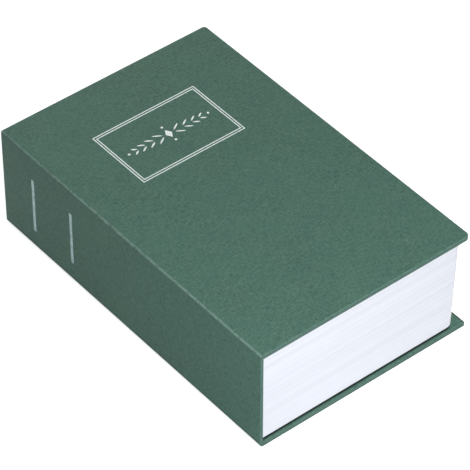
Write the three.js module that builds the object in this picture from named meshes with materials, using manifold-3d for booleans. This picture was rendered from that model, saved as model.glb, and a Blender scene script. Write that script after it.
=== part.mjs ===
// Book diversion safe: a steel cash box with a key lock, hidden in the page block of a hardback book.
// Millimetres. The book lies on its back cover. The origin is the middle of the underside,
// +X runs from the spine to the fore edge, +Y from the tail to the head, and +Z up.

import * as THREE from 'three';
import { mergeVertices } from 'three/addons/utils/BufferGeometryUtils.js';
import Module from 'manifold-3d';

const wasm = await Module();
wasm.setup();

// Book case
const bookLength = 180;
const bookWidth = 115;
const bookThickness = 54;
const boardThickness = 1.9;
const spineBoardThickness = 0.9;
const paperThickness = 0.2;
const turnInWidth = 15;
const coverCornerRadius = 2.2;
const coverEdgeRadius = 0.4;
const trimmedCornerRadius = 0.5;
const arrisRadius = 1.1;
const endpaperThickness = 0.15;
const endpaperMargin = 4;
const endpaperCornerRadius = 1;
const hingePaperGap = 0.3;
const coverClearance = 0.3;
const fitClearance = 0.3;

// Page block moulding
const pageInsetTail = 1;
const pageInsetFore = 3;
const pageCornerRadius = 4.5;
const pageSpineCornerRadius = 0.8;
const pageWall = 2.2;
const pageRimThickness = 2;
const pageLipWidth = 1.6;
const pageLeafCount = 20;
const pageGrooveDepth = 0.25;
const pageGrooveHeight = 0.7;
const pageGrooveLeastShare = 0.55;
const pageGrooveWave = 2.4;
const pageGrooveSteps = 1;
const pageLeafOverlap = 0.1;
const pageForeDraft = 2.1;
const pageFootHeight = 0.8;
const pageFootInset = 1.2;

// Cash box
const sheetThickness = 0.8;
const boxClearance = 0.4;
const boxCornerRadius = 3;
const boxRimWidth = 8;
const boxHingeRimWidth = 16;
const boxMouthRadius = 5;

// Lid
const lidOverlap = 5;
const lidRecess = 1.5;
const lidSideGap = 0.5;
const lidSeatGap = 0.3;
const lidHemWidth = 6;
const lidForeRadius = 3;
const lidSpineRadius = 1;

// Lid hinge
const hingeEndMargin = 2.9;
const hingeKnuckleCount = 7;
const hingeKnuckleRadius = 1.6;
const hingeKnuckleLift = 0.2;
const hingeKnuckleGap = 0.3;
const hingePinRadius = 0.8;
const hingePinClearance = 0.2;
const hingePinOverhang = 0.6;
const hingeLeafThickness = 0.4;
const hingeLeafWidth = 9.5;
const hingeSideGap = 0.4;

// Lock
const lockInset = 16;
const lockBezelRadius = 8;
const lockBezelThickness = 1.2;
const lockBezelChamfer = 0.5;
const lockFaceRecess = 0.25;
const lockBodyRadius = 6;
const lockBodyLength = 11;
const lockFlatWidth = 10;
const lockHoleClearance = 0.25;
const lockPlugRadius = 4;
const lockPlugHeadRadius = 5;
const lockPlugHeadThickness = 0.9;
const lockPlugClearance = 0.3;
const lockKeywayLength = 6.4;
const lockKeywayWidth = 1.5;
const lockKeywayDepth = 9;
const lockWasherRadius = 8.2;
const lockWasherThickness = 0.6;
const lockWasherToothCount = 12;
const lockWasherNotch = 0.95;
const lockNutAcrossFlats = 15;
const lockNutThickness = 2.6;
const lockThreadClearance = 0.3;

// Cam and its stop
const camTurn = 90;
const camRestAngle = 90;
const camThickness = 1.6;
const camWidth = 9;
const camTipRadius = 2.25;
const camSquare = 4.4;
const camSquareClearance = 0.15;
const camTipClearance = 1;
const stopWasherThickness = 1.2;
const stopWasherRadius = 4.2;
const stopTabAngle = 60;
const stopTabPlay = 3;
const stopClearance = 0.3;
const stopTabClearance = 0.2;
const camScrewRadius = 1.5;
const camScrewLength = 5;
const camScrewClearance = 0.15;
const camScrewHeadRadius = 3.4;
const camScrewHeadHeight = 1.4;
const camScrewSlotWidth = 0.8;
const camScrewSlotDepth = 0.7;

// Strike
const strikeThickness = 1;
const strikeLength = 30;
const strikeDepth = 8;
const strikeClearance = 0.35;

// Facets of a quarter turn, a full turn and the stop's arcs, and how far a cutter runs past what it cuts
const cornerFacets = 3;
const roundFacets = 32;
const smallRoundFacets = 16;
const stopFacets = 8;
const cutMargin = 1;

// Levels and edges that follow from the sizes above
const coverThickness = boardThickness + 2 * paperThickness;
const spineFace = -bookWidth / 2;
const foreFace = bookWidth / 2;
const headFace = bookLength / 2;
const frontBottom = bookThickness - coverThickness;
const frontSpineEdge = spineFace + paperThickness + hingePaperGap;
const arrisX = spineFace + arrisRadius;
const spineThickness = spineBoardThickness + 2 * paperThickness;
const spineInside = spineFace + spineThickness;
const caseTop = frontBottom - endpaperThickness - coverClearance;

const pageFore = foreFace - pageInsetFore;
const pageHead = headFace - pageInsetTail;
const pageBottom = coverThickness;
const pageFootTop = pageBottom + pageFootHeight;
const leafPitch = (caseTop - pageFootTop) / pageLeafCount;

const boxSpine = spineInside + pageWall + boxClearance;
const boxFore = pageFore - pageForeDraft - pageWall - boxClearance;
const boxHead = pageHead - pageWall - boxClearance;
const boxBottom = coverThickness;
const lidTop = caseTop - lidRecess;
const lidUnderside = lidTop - sheetThickness;
const boxTop = lidUnderside - sheetThickness - lidSeatGap;
const boxRimUnderside = boxTop - sheetThickness;
const boxInsideFore = boxFore - sheetThickness;

const lidFore = boxFore - boxRimWidth + lidOverlap;
const lidHead = boxHead - boxRimWidth + lidOverlap;
const openingFore = lidFore + lidSideGap;
const openingHead = lidHead + lidSideGap;
const openingSpine = boxSpine + boxRimWidth - lidOverlap - lidSideGap;

const hingeX = openingSpine + hingeSideGap + hingeKnuckleRadius;
const hingeZ = boxTop + hingeKnuckleLift + hingeKnuckleRadius;
const hingeRelief = hingeKnuckleRadius + hingeKnuckleGap;
const hingeEnd = lidHead - lidHemWidth - hingeEndMargin;
const hingePitch = 2 * hingeEnd / hingeKnuckleCount;
const lidSpine = hingeX + hingeRelief;

const lockX = lidFore - lockInset;
const lockBore = lockPlugRadius + lockPlugClearance;
const lockCounterbore = lockPlugHeadRadius + lockPlugClearance;
const stopWasherTop = -lockBodyLength - stopClearance;
const camTop = stopWasherTop - stopWasherThickness;
const camUnderside = camTop - camThickness;
const camReach = boxInsideFore - strikeThickness - camTipClearance - lockX;
const strikeUnderside = lidTop + camTop + strikeClearance;

// Finishes
const coverPaper = new THREE.MeshStandardMaterial({ color: 0x537064, roughness: 0.72, metalness: 0 });
const greyBoard = new THREE.MeshStandardMaterial({ color: 0x8f8a80, roughness: 0.9, metalness: 0 });
const endPaper = new THREE.MeshStandardMaterial({ color: 0xe9e6dc, roughness: 0.8, metalness: 0 });
const whitePlastic = new THREE.MeshStandardMaterial({ color: 0xeef0f4, roughness: 0.45, metalness: 0 });
const blackEnamel = new THREE.MeshStandardMaterial({ color: 0x1d1e20, roughness: 0.4, metalness: 0.1 });
const zincSteel = new THREE.MeshStandardMaterial({ color: 0xb9bcbf, roughness: 0.35, metalness: 0.9 });
const nickel = new THREE.MeshStandardMaterial({ color: 0xcfd0d2, roughness: 0.2, metalness: 1 });
const brass = new THREE.MeshStandardMaterial({ color: 0xc2a265, roughness: 0.3, metalness: 1 });

// Solids: a three.js geometry becomes a solid that can be cut and joined, and comes back as a geometry

function toSolid(geometry) {
  geometry.deleteAttribute('normal');
  geometry.deleteAttribute('uv');
  const merged = mergeVertices(geometry);
  return new wasm.Manifold(new wasm.Mesh({
    numProp: 3,
    vertProperties: new Float32Array(merged.attributes.position.array),
    triVerts: new Uint32Array(merged.index.array),
  }));
}

function toGeometry(solid) {
  const mesh = solid.getMesh();
  const geometry = new THREE.BufferGeometry();
  geometry.setAttribute('position', new THREE.BufferAttribute(mesh.vertProperties, 3));
  geometry.setIndex(new THREE.BufferAttribute(mesh.triVerts, 1));
  geometry.computeVertexNormals();
  return geometry;
}

function block(x0, x1, y0, y1, z0, z1) {
  const geometry = new THREE.BoxGeometry(x1 - x0, y1 - y0, z1 - z0);
  geometry.translate((x0 + x1) / 2, (y0 + y1) / 2, (z0 + z1) / 2);
  return toSolid(geometry);
}

function prism(plan, z0, z1) {
  const geometry = new THREE.ExtrudeGeometry(plan, {
    depth: z1 - z0,
    bevelEnabled: false,
    curveSegments: cornerFacets,
  });
  geometry.translate(0, 0, z0);
  return toSolid(geometry);
}

// A prism whose top and bottom edges step in by inset over a height of rise
function edgedPrism(plan, z0, z1, inset, rise, steps) {
  const geometry = new THREE.ExtrudeGeometry(plan, {
    depth: z1 - z0 - 2 * rise,
    bevelEnabled: true,
    bevelThickness: rise,
    bevelSize: inset,
    bevelOffset: -inset,
    bevelSegments: steps,
    curveSegments: cornerFacets,
  });
  geometry.translate(0, 0, z0 + rise);
  return toSolid(geometry);
}

// A profile drawn in X and Z, run along Y
function alongY(profile, y0, y1) {
  const geometry = new THREE.ExtrudeGeometry(profile, {
    depth: y1 - y0,
    bevelEnabled: false,
    curveSegments: cornerFacets,
  });
  geometry.rotateX(Math.PI / 2);
  geometry.translate(0, y1, 0);
  return toSolid(geometry);
}

function cylinder(radius, z0, z1, facets = roundFacets) {
  const geometry = new THREE.CylinderGeometry(radius, radius, z1 - z0, facets);
  geometry.rotateX(Math.PI / 2);
  geometry.translate(0, 0, (z0 + z1) / 2);
  return toSolid(geometry);
}

function cylinderAlongY(x, z, radius, y0, y1) {
  const geometry = new THREE.CylinderGeometry(radius, radius, y1 - y0, smallRoundFacets);
  geometry.translate(x, (y0 + y1) / 2, z);
  return toSolid(geometry);
}

// A rectangle with one corner radius at the fore edge and one at the spine
function sheetPlan(x0, x1, y0, y1, foreRadius, spineRadius) {
  const plan = new THREE.Shape();
  plan.moveTo(x0 + spineRadius, y0);
  plan.lineTo(x1 - foreRadius, y0);
  plan.absarc(x1 - foreRadius, y0 + foreRadius, foreRadius, -Math.PI / 2, 0);
  plan.lineTo(x1, y1 - foreRadius);
  plan.absarc(x1 - foreRadius, y1 - foreRadius, foreRadius, 0, Math.PI / 2);
  plan.lineTo(x0 + spineRadius, y1);
  plan.absarc(x0 + spineRadius, y1 - spineRadius, spineRadius, Math.PI / 2, Math.PI);
  plan.lineTo(x0, y0 + spineRadius);
  plan.absarc(x0 + spineRadius, y0 + spineRadius, spineRadius, Math.PI, Math.PI * 1.5);
  return plan;
}

// Book case

// The edge of the front cover at the hinge: square below, rounded on top about the arris
function frontEdgeProfile(top, radius) {
  const centreZ = bookThickness - arrisRadius;
  const start = Math.PI - Math.acos((arrisX - frontSpineEdge) / radius);
  const profile = new THREE.Shape();
  profile.moveTo(frontSpineEdge, frontBottom - cutMargin);
  profile.lineTo(foreFace + cutMargin, frontBottom - cutMargin);
  profile.lineTo(foreFace + cutMargin, top);
  profile.lineTo(arrisX, top);
  profile.absarc(arrisX, centreZ, radius, Math.PI / 2, start);
  return profile;
}

// The edge of the back cover at the spine: square on top, rounded below about the arris
function backEdgeProfile(left, bottom, radius) {
  const profile = new THREE.Shape();
  profile.moveTo(left, bookThickness);
  profile.lineTo(left, arrisRadius);
  profile.absarc(arrisX, arrisRadius, radius, Math.PI, Math.PI * 1.5);
  profile.lineTo(foreFace + cutMargin, bottom);
  profile.lineTo(foreFace + cutMargin, bookThickness);
  return profile;
}

// A cover board inside its paper, running on past the spine, where each board is trimmed to its own edge
function boardBlank(z0, z1) {
  const x0 = spineFace - 2 * cutMargin;
  const radius = coverCornerRadius - paperThickness;
  const side = headFace - paperThickness;
  return prism(sheetPlan(x0, foreFace - paperThickness, -side, side, radius, trimmedCornerRadius), z0, z1);
}

function coverBlank(z0, z1) {
  const x0 = spineFace - 2 * cutMargin;
  const plan = sheetPlan(x0, foreFace, -headFace, headFace, coverCornerRadius, trimmedCornerRadius);
  return edgedPrism(plan, z0, z1, coverEdgeRadius, coverEdgeRadius, cornerFacets);
}

function turnInWindow(x0, z0, z1) {
  const side = headFace - turnInWidth;
  return block(x0, foreFace - turnInWidth, -side, side, z0, z1);
}

function makeFrontBoard() {
  const profile = frontEdgeProfile(bookThickness - paperThickness, arrisRadius - paperThickness);
  const trim = alongY(profile, -headFace - cutMargin, headFace + cutMargin);
  return boardBlank(frontBottom + paperThickness, bookThickness - paperThickness).intersect(trim);
}

function makeFrontPaper(board) {
  const side = headFace + cutMargin;
  const trim = alongY(frontEdgeProfile(bookThickness, arrisRadius), -side, side);
  const windowTop = frontBottom + 2 * paperThickness;
  const window = turnInWindow(spineFace - cutMargin, frontBottom - cutMargin, windowTop);
  return coverBlank(frontBottom, bookThickness).intersect(trim).subtract(board).subtract(window);
}

function makeFrontEndpaper() {
  const x0 = frontSpineEdge + fitClearance;
  const x1 = foreFace - endpaperMargin;
  const side = headFace - endpaperMargin;
  const radius = endpaperCornerRadius;
  const z0 = frontBottom - endpaperThickness;
  const sheet = prism(sheetPlan(x0, x1, -side, side, radius, radius), z0, frontBottom);
  const inner = headFace - turnInWidth - fitClearance;
  const raised = block(
    x0, foreFace - turnInWidth - fitClearance, -inner, inner,
    z0, frontBottom + paperThickness,
  );
  return sheet.add(raised);
}

function makeBackBoard() {
  const profile = backEdgeProfile(spineFace + paperThickness, paperThickness, arrisRadius - paperThickness);
  const trim = alongY(profile, -headFace - cutMargin, headFace + cutMargin);
  return boardBlank(paperThickness, coverThickness - paperThickness).intersect(trim);
}

function makeBackPaper(board) {
  const side = headFace + cutMargin;
  const trim = block(arrisX, foreFace + cutMargin, -side, side, -cutMargin, coverThickness + cutMargin);
  const window = turnInWindow(spineFace, coverThickness - 2 * paperThickness, coverThickness + cutMargin);
  const seat = block(
    spineFace, spineInside, -side, side,
    coverThickness - paperThickness, coverThickness + cutMargin,
  );
  return coverBlank(0, coverThickness).intersect(trim).subtract(board).subtract(window).subtract(seat);
}

function makeSpineBoard() {
  const side = headFace - paperThickness;
  return block(
    spineFace + paperThickness, spineInside - paperThickness, -side, side,
    coverThickness - paperThickness, caseTop,
  );
}

function makeSpinePaper(spineBoard, backBoard) {
  const side = headFace + cutMargin;
  const plan = sheetPlan(spineFace, spineInside, -headFace, headFace, paperThickness, coverEdgeRadius);
  const profile = backEdgeProfile(spineFace, 0, arrisRadius);
  const column = prism(plan, 0, caseTop).intersect(alongY(profile, -side, side));
  const inner = headFace - turnInWidth;
  const window = block(
    spineInside - 2 * paperThickness, spineInside + cutMargin, -inner, inner,
    -cutMargin, caseTop + cutMargin,
  );
  const backCover = block(
    arrisX, spineInside + cutMargin, -side, side,
    -cutMargin, coverThickness - paperThickness,
  );
  const flap = headFace - coverEdgeRadius;
  const hingeStrip = block(
    spineFace, spineFace + paperThickness, -flap, flap,
    caseTop - cutMargin, bookThickness - arrisRadius,
  );
  const folded = column.subtract(window).subtract(backCover);
  return folded.subtract(spineBoard).subtract(backBoard).add(hingeStrip);
}

// Page block: leaves stacked with a groove between each two, and a fore edge that leans in to the foot

function pagePlan(foreInset) {
  const fore = pageFore - foreInset;
  return sheetPlan(spineInside, fore, -pageHead, pageHead, pageCornerRadius, pageSpineCornerRadius);
}

function foreDraftAt(height) {
  return pageForeDraft * (caseTop - height) / (caseTop - pageBottom);
}

function makePageLeaf(index) {
  const z0 = pageFootTop + index * leafPitch;
  const top = index < pageLeafCount - 1 ? z0 + leafPitch + pageLeafOverlap : caseTop;
  const share = pageGrooveLeastShare + (1 - pageGrooveLeastShare) * Math.sin(pageGrooveWave * index) ** 2;
  const plan = pagePlan(foreDraftAt(z0 + leafPitch / 2));
  return edgedPrism(plan, z0, top, pageGrooveDepth * share, pageGrooveHeight / 2, pageGrooveSteps);
}

function makePageBlock() {
  const foot = sheetPlan(
    spineInside, pageFore - pageForeDraft - pageFootInset,
    -pageHead + pageFootInset, pageHead - pageFootInset,
    pageCornerRadius, pageSpineCornerRadius,
  );
  let moulding = prism(foot, pageBottom, pageFootTop + leafPitch / 2);
  for (let index = 0; index < pageLeafCount; index += 1) {
    moulding = moulding.add(makePageLeaf(index));
  }
  const cavity = sheetPlan(
    boxSpine - boxClearance, boxFore + boxClearance, -boxHead - boxClearance, boxHead + boxClearance,
    boxCornerRadius - boxClearance, boxCornerRadius - boxClearance,
  );
  const radius = lidForeRadius;
  const opening = sheetPlan(openingSpine, openingFore, -openingHead, openingHead, radius, radius);
  const lip = pageLipWidth;
  const lipOutline = sheetPlan(
    openingSpine - lip, openingFore + lip, -openingHead - lip, openingHead + lip,
    radius + lip, radius + lip,
  );
  const rimUnderside = caseTop - pageRimThickness;
  const hollow = prism(cavity, pageBottom - cutMargin, rimUnderside);
  const lipRing = prism(lipOutline, boxTop, rimUnderside + cutMargin);
  const mouth = prism(opening, pageBottom - cutMargin, caseTop + cutMargin);
  return moulding.subtract(hollow).add(lipRing).subtract(mouth);
}

// Cash box

function makeCashBox() {
  const radius = boxCornerRadius;
  const wall = sheetThickness;
  const outer = prism(sheetPlan(boxSpine, boxFore, -boxHead, boxHead, radius, radius), boxBottom, boxTop);
  const inner = prism(
    sheetPlan(boxSpine + wall, boxInsideFore, -boxHead + wall, boxHead - wall, radius - wall, radius - wall),
    boxBottom + wall, boxRimUnderside,
  );
  const mouth = prism(
    sheetPlan(
      boxSpine + boxHingeRimWidth, boxFore - boxRimWidth, -boxHead + boxRimWidth, boxHead - boxRimWidth,
      boxMouthRadius, boxMouthRadius,
    ),
    boxRimUnderside - cutMargin, boxTop + cutMargin,
  );
  return outer.subtract(inner).subtract(mouth);
}

// The angle inside the fore wall that the cam turns under
function makeStrike() {
  const wall = boxInsideFore;
  const profile = new THREE.Shape();
  profile.moveTo(wall, boxRimUnderside);
  profile.lineTo(wall - strikeThickness, boxRimUnderside);
  profile.lineTo(wall - strikeThickness, strikeUnderside + strikeThickness);
  profile.lineTo(wall - strikeDepth, strikeUnderside + strikeThickness);
  profile.lineTo(wall - strikeDepth, strikeUnderside);
  profile.lineTo(wall, strikeUnderside);
  return alongY(profile, -strikeLength / 2, strikeLength / 2);
}

// Lid and its hinge

function doubleD(radius, acrossFlats, z0, z1) {
  const half = acrossFlats / 2;
  return cylinder(radius, z0, z1).intersect(block(-half, half, -radius, radius, z0, z1));
}

function makeLid() {
  const plan = sheetPlan(lidSpine, lidFore, -lidHead, lidHead, lidForeRadius, lidSpineRadius);
  const hemmed = prism(plan, lidUnderside - sheetThickness, lidTop);
  const side = lidHead - lidHemWidth;
  const inside = block(
    lidSpine - cutMargin, lidFore - lidHemWidth, -side, side,
    lidUnderside - sheetThickness - cutMargin, lidUnderside,
  );
  const hole = doubleD(
    lockBodyRadius + lockHoleClearance, lockFlatWidth + 2 * lockHoleClearance,
    lidUnderside - cutMargin, lidTop + cutMargin,
  ).translate([lockX, 0, 0]);
  return hemmed.subtract(inside).subtract(hole);
}

// A leaf with every second knuckle of the barrel, and room for the other leaf's knuckles between them
function makeHingeLeaf(firstKnuckle, z0, z1) {
  const tail = -hingeEnd;
  let leaf = block(hingeX + hingeRelief, hingeX + hingeLeafWidth, tail, -tail, z0, z1);
  for (let index = firstKnuckle; index < hingeKnuckleCount; index += 2) {
    const y0 = tail + index * hingePitch + (index > 0 ? hingeKnuckleGap / 2 : 0);
    const y1 = tail + (index + 1) * hingePitch - (index < hingeKnuckleCount - 1 ? hingeKnuckleGap / 2 : 0);
    leaf = leaf.add(cylinderAlongY(hingeX, hingeZ, hingeKnuckleRadius, y0, y1));
    leaf = leaf.add(block(hingeX, hingeX + hingeRelief + hingeKnuckleGap, y0, y1, z0, z1));
  }
  const bore = cylinderAlongY(
    hingeX, hingeZ, hingePinRadius + hingePinClearance, tail - cutMargin, cutMargin - tail,
  );
  return leaf.subtract(bore);
}

function makeHingePin() {
  const end = hingeEnd + hingePinOverhang;
  return cylinderAlongY(hingeX, hingeZ, hingePinRadius, -end, end);
}

// Lock, drawn about its own axis with the lid's top face at zero

function degrees(angle) {
  return angle * Math.PI / 180;
}

// A flat piece of a ring between two angles
function ringSector(inner, outer, from, to, z0, z1) {
  const plan = new THREE.Shape();
  plan.absarc(0, 0, outer, degrees(from), degrees(to));
  plan.absarc(0, 0, inner, degrees(to), degrees(from), true);
  const geometry = new THREE.ExtrudeGeometry(plan, {
    depth: z1 - z0,
    bevelEnabled: false,
    curveSegments: stopFacets,
  });
  geometry.translate(0, 0, z0);
  return toSolid(geometry);
}

function makeLockBody() {
  const top = lockBezelThickness;
  const chamfer = lockBezelChamfer;
  const shelf = top - lockPlugHeadThickness - lockPlugClearance;
  const profile = [
    [lockBore, -lockBodyLength], [lockBodyRadius, -lockBodyLength], [lockBodyRadius, 0],
    [lockBezelRadius, 0], [lockBezelRadius, top - chamfer], [lockBezelRadius - chamfer, top],
    [lockCounterbore, top], [lockCounterbore, shelf], [lockBore, shelf], [lockBore, -lockBodyLength],
  ];
  const geometry = new THREE.LatheGeometry(profile.map(([r, z]) => new THREE.Vector2(r, z)), roundFacets);
  geometry.rotateX(Math.PI / 2);
  const half = lockFlatWidth / 2;
  const far = lockBezelRadius;
  const lug = ringSector(
    stopWasherRadius + stopClearance, lockBodyRadius,
    stopTabAngle / 2 + stopTabPlay, 360 - camTurn - stopTabAngle / 2 - stopTabPlay,
    -lockBodyLength - stopWasherThickness, -lockBodyLength + cutMargin,
  ).rotate([0, 0, camRestAngle]);
  let body = toSolid(geometry).add(lug);
  for (const sign of [-1, 1]) {
    const edges = [sign * half, sign * far].sort((a, b) => a - b);
    const z0 = -lockBodyLength - stopWasherThickness - cutMargin;
    body = body.subtract(block(edges[0], edges[1], -far, far, z0, 0));
  }
  return body;
}

function makeLockWasher() {
  const inner = lockBodyRadius + lockThreadClearance;
  const z1 = lidUnderside - lidTop;
  const z0 = z1 - lockWasherThickness;
  let washer = cylinder(lockWasherRadius, z0, z1).subtract(cylinder(inner, z0 - cutMargin, z1 + cutMargin));
  const notch = lockWasherNotch;
  for (let index = 0; index < lockWasherToothCount; index += 1) {
    const angle = index * 360 / lockWasherToothCount;
    const cut = block(
      lockWasherRadius - notch, lockWasherRadius + cutMargin, -notch / 2, notch / 2,
      z0 - cutMargin, z1 + cutMargin,
    );
    washer = washer.subtract(cut.rotate([0, 0, angle]));
  }
  return washer;
}

function makeLockNut() {
  const z1 = lidUnderside - lidTop - lockWasherThickness;
  const z0 = z1 - lockNutThickness;
  const corner = lockNutAcrossFlats / 2 / Math.cos(Math.PI / 6);
  const bore = cylinder(lockBodyRadius + lockThreadClearance, z0 - cutMargin, z1 + cutMargin);
  return cylinder(corner, z0, z1, 6).subtract(bore);
}

function makeLockPlug() {
  const top = lockBezelThickness - lockFaceRecess;
  const tail = camUnderside + camScrewClearance;
  const head = cylinder(lockPlugHeadRadius, top - lockPlugHeadThickness + lockFaceRecess, top);
  const barrel = cylinder(lockPlugRadius, -lockBodyLength - stopClearance, top);
  const half = camSquare / 2;
  const square = block(-half, half, -half, half, tail, 0);
  const keyway = block(
    -lockKeywayWidth / 2, lockKeywayWidth / 2, -lockKeywayLength / 2, lockKeywayLength / 2,
    top - lockKeywayDepth, top + cutMargin,
  );
  const thread = cylinder(
    camScrewRadius + camScrewClearance, tail - cutMargin, camUnderside + camScrewLength + camScrewClearance,
    smallRoundFacets,
  );
  return head.add(barrel).add(square).subtract(keyway).subtract(thread);
}

function squareHole(z0, z1) {
  const half = camSquare / 2 + camSquareClearance;
  return block(-half, half, -half, half, z0 - cutMargin, z1 + cutMargin);
}

function makeStopWasher() {
  const disc = cylinder(stopWasherRadius, camTop, stopWasherTop);
  const tab = ringSector(
    camSquare / 2, lockBodyRadius - stopTabClearance, -stopTabAngle / 2, stopTabAngle / 2,
    camTop, stopWasherTop,
  ).rotate([0, 0, camRestAngle]);
  return disc.add(tab).subtract(squareHole(camTop, stopWasherTop));
}

// The cam points along +Y when the lock is open
function makeCam() {
  const half = camWidth / 2;
  const tip = camTipRadius;
  const plan = new THREE.Shape();
  plan.moveTo(half, 0);
  plan.lineTo(half, camReach - tip);
  plan.absarc(half - tip, camReach - tip, tip, 0, Math.PI / 2);
  plan.lineTo(tip - half, camReach);
  plan.absarc(tip - half, camReach - tip, tip, Math.PI / 2, Math.PI);
  plan.lineTo(-half, 0);
  plan.absarc(0, 0, half, Math.PI, Math.PI * 2);
  return prism(plan, camUnderside, camTop).subtract(squareHole(camUnderside, camTop));
}

function makeCamScrew() {
  const z0 = camUnderside - camScrewHeadHeight;
  const head = cylinder(camScrewHeadRadius, z0, camUnderside);
  const shank = cylinder(camScrewRadius, z0, camUnderside + camScrewLength, smallRoundFacets);
  const slot = block(
    -camScrewHeadRadius, camScrewHeadRadius, -camScrewSlotWidth / 2, camScrewSlotWidth / 2,
    z0 - cutMargin, z0 + camScrewSlotDepth,
  );
  return head.add(shank).subtract(slot);
}

// Assembly

function piece(name, solid, material) {
  const mesh = new THREE.Mesh(toGeometry(solid), material);
  mesh.name = name;
  return mesh;
}

// A group that turns about a point, holding pieces drawn in the part's own frame
function turningGroup(x, z, pieces) {
  const pivot = new THREE.Group();
  pivot.position.set(x, 0, z);
  const held = new THREE.Group();
  held.position.set(-x, 0, -z);
  held.add(...pieces);
  pivot.add(held);
  return pivot;
}

const backBoard = makeBackBoard();
const spineBoard = makeSpineBoard();
const frontBoard = makeFrontBoard();

const bookCase = new THREE.Group();
bookCase.add(
  piece('back_cover_board', backBoard, greyBoard),
  piece('spine_board', spineBoard, greyBoard),
  piece('back_cover_paper', makeBackPaper(backBoard), coverPaper),
  piece('spine_paper', makeSpinePaper(spineBoard, backBoard), coverPaper),
  piece('page_block', makePageBlock(), whitePlastic),
);

const frontCover = turningGroup(spineFace, bookThickness, [
  piece('front_cover_board', frontBoard, greyBoard),
  piece('front_cover_paper', makeFrontPaper(frontBoard), coverPaper),
  piece('front_endpaper', makeFrontEndpaper(), endPaper),
]);

const cashBox = new THREE.Group();
cashBox.add(
  piece('cash_box', makeCashBox(), blackEnamel),
  piece('lock_strike', makeStrike(), zincSteel),
  piece('box_hinge_leaf', makeHingeLeaf(0, boxTop, boxTop + hingeLeafThickness), zincSteel),
  piece('hinge_pin', makeHingePin(), zincSteel),
);

const camGroup = new THREE.Group();
camGroup.add(
  piece('lock_plug', makeLockPlug(), brass),
  piece('stop_washer', makeStopWasher(), zincSteel),
  piece('lock_cam', makeCam(), zincSteel),
  piece('cam_screw', makeCamScrew(), zincSteel),
);

const lock = new THREE.Group();
lock.position.set(lockX, 0, lidTop);
lock.add(
  piece('lock_body', makeLockBody(), nickel),
  piece('lock_washer', makeLockWasher(), zincSteel),
  piece('lock_nut', makeLockNut(), nickel),
  camGroup,
);

const lid = turningGroup(hingeX, hingeZ, [
  piece('lid_panel', makeLid(), blackEnamel),
  piece('lid_hinge_leaf', makeHingeLeaf(1, lidUnderside - hingeLeafThickness, lidUnderside), zincSteel),
  lock,
]);

const bookSafe = new THREE.Group();
bookSafe.add(bookCase, cashBox, lid, frontCover);

export default bookSafe;
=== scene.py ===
"""Book diversion safe: a hardback book whose page block hides a steel cash box with a key lock.

Each operator models a piece, or a group of like pieces, around the fixed frame. The sidebar's
Book Safe tab lists them in the order in which they run.
"""

import math
from functools import cache, partial

import bpy
from bpy.props import FloatProperty, IntProperty, PointerProperty, StringProperty
from bpy.types import Operator, Panel, PropertyGroup
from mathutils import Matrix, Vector
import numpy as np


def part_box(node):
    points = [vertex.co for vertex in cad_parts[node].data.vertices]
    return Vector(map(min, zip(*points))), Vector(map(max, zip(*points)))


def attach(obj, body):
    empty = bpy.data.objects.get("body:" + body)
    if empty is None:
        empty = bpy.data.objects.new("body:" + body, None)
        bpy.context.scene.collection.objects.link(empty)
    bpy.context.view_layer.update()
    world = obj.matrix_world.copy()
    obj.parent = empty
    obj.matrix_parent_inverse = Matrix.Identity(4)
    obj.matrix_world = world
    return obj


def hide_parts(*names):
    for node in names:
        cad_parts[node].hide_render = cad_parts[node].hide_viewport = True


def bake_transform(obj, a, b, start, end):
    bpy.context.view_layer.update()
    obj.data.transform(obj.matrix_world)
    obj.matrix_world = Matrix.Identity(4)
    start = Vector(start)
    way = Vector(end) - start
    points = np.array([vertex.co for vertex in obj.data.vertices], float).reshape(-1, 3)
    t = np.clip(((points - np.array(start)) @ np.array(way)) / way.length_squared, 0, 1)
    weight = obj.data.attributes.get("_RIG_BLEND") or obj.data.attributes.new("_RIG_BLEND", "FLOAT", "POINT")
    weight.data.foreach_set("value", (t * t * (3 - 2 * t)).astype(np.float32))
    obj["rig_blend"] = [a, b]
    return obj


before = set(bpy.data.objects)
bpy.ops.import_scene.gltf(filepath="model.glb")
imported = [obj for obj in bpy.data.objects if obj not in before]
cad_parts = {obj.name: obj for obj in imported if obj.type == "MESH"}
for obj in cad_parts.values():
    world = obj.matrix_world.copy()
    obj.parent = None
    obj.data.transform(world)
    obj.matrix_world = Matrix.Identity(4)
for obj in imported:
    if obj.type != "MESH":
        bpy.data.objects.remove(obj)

bl_info = {
    "name": "Book Safe",
    "version": (1, 0, 0),
    "blender": (4, 5, 0),
    "location": "View3D > Sidebar > Book Safe",
    "description": "Models a hardback book safe with its case, page block, cash box, lid and lock",
    "category": "Object",
}

MM = 0.001

# Places and levels of the CAD's pieces, taken from the frame
BACK_COVER_LOW, BACK_COVER_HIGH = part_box("back_cover_paper")
SPINE_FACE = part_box("spine_paper")[0].x
CASE_LOW = Vector((SPINE_FACE, BACK_COVER_LOW.y, BACK_COVER_LOW.z))
CASE_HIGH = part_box("front_cover_paper")[1]
FORE_FACE, HEAD_FACE, COVER_TOP = CASE_HIGH
COVER_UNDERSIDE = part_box("front_cover_paper")[0].z
COVER_SPINE_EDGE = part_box("front_cover_board")[0].x
PAGES_LOW, PAGES_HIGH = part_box("page_block")
BOX_LOW, BOX_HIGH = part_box("cash_box")
LID_LOW, LID_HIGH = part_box("lid_panel")
LOCK_LOW, LOCK_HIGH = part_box("lock_body")
BACK_COVER_TOP = BACK_COVER_HIGH.z
SPINE_BOARD_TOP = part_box("spine_board")[1].z


# Sizes and colours in the sidebar


def length(name, description, millimetres):
    """A length as a property, from its value in millimetres."""
    return FloatProperty(name=name, description=description, default=millimetres * MM, unit="LENGTH")


def hex_colour(name, description, code):
    """A colour as a property, from its sRGB hex value."""
    return StringProperty(name=name, description=description, default=code)


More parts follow.
